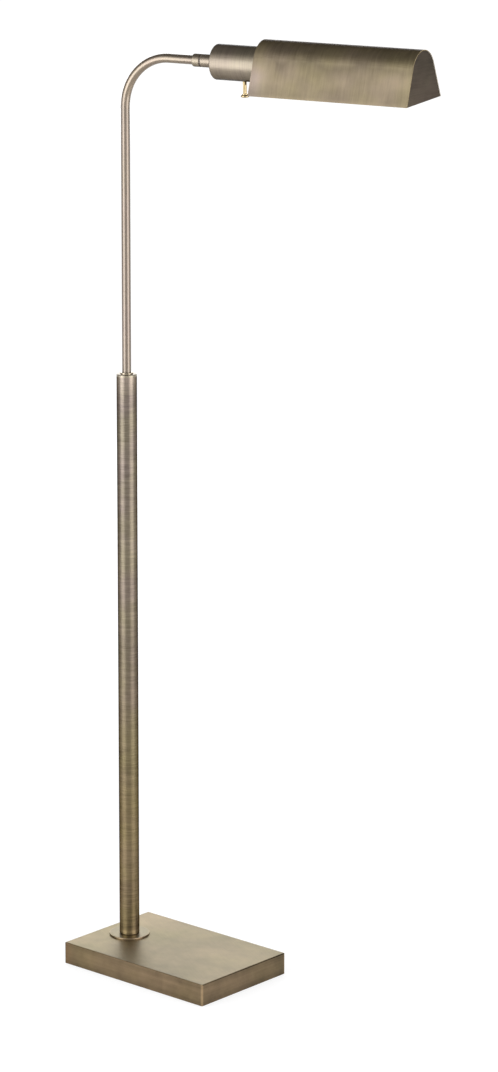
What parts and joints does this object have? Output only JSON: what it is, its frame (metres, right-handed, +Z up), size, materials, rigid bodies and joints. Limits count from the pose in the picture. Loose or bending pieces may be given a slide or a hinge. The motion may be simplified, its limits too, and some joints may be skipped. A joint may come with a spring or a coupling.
{
  "type": "floor lamp",
  "caption": "Adjustable reading floor lamp: weighted block foot, telescoping pole with a bent swivelling arm, and a trough shade that turns about the arm, with a turn switch.",
  "frame": {"origin": "pole axis at floor level, on the felt's underside", "axes": "+Z up along the pole; +X along the arm towards the shade, as pictured; +Y to the left of the arm"},
  "size_m": [0.5222, 0.2239, 1.3375],
  "materials": {
    "antique_brass": "brushed, lacquered antique patina",
    "polished_brass": "polished",
    "zinc_steel": "zinc plated",
    "cast_iron": "rough casting",
    "nylon": "moulded, matt",
    "black_plastic": "moulded, satin",
    "rubber": "moulded, matt",
    "felt": "pressed felt",
    "porcelain": "glazed",
    "frosted_glass": "frosted"
  },
  "bodies": {
    "base": {"felt_pad": "felt", "bottom_plate": "zinc_steel", "bottom_screws": "zinc_steel", "base_weight": "cast_iron", "base_cover": "antique_brass", "cord_bushing": "black_plastic", "pole_stud": "zinc_steel", "stud_washer": "zinc_steel", "stud_nut": "zinc_steel", "foot_flange": "antique_brass", "pole_plug": "zinc_steel", "lower_pole": "antique_brass", "pole_cap": "antique_brass", "guide_bush": "nylon", "friction_ring": "rubber", "cap_ring": "antique_brass"},
    "glide": {"glide_sleeve": "nylon"},
    "stem": {"stem_foot": "nylon", "stop_collar": "zinc_steel", "stem_tube": "antique_brass", "arm_ferrule": "antique_brass", "swivel_spigot": "polished_brass", "swivel_washer": "black_plastic", "spring_washer": "zinc_steel", "spigot_nut": "zinc_steel"},
    "head": {"swivel_collar": "antique_brass", "stop_screw": "zinc_steel", "socket_cup": "antique_brass", "cup_nut": "zinc_steel", "holder_bracket": "zinc_steel", "holder_screws": "zinc_steel", "lampholder_body": "porcelain", "switch_bush": "polished_brass", "screw_shell": "polished_brass", "centre_contact": "polished_brass", "shade_ring": "black_plastic", "shade_shell": "antique_brass", "shade_rear_plate": "antique_brass", "shade_front_plate": "antique_brass", "bulb_cap": "zinc_steel", "bulb_insulator": "black_plastic", "bulb_glass": "frosted_glass"},
    "switch": {"switch_rotor": "black_plastic", "switch_shaft": "polished_brass", "switch_knob": "polished_brass"}
  },
  "joints": [
    {"name": "stem_slide", "type": "slide", "parent": "base", "child": "glide", "axis": [0, 0, 1], "range_m": [-0.37, 0.0495]},
    {"name": "stem_swivel", "type": "hinge", "parent": "glide", "child": "stem", "pos_m": [0, 0, 0.74], "axis": [0, 0, 1], "range_deg": [-170, 170]},
    {"name": "head_swivel", "type": "hinge", "parent": "stem", "child": "head", "pos_m": [0.137, 0, 1.303], "axis": [1, 0, 0], "range_deg": [-98.4, 91.6]},
    {"name": "switch_turn", "type": "hinge", "parent": "head", "child": "switch", "pos_m": [0.1891, 0, 1.303], "axis": [0, 0.0593, -0.9982], "continuous": true}
  ]
}
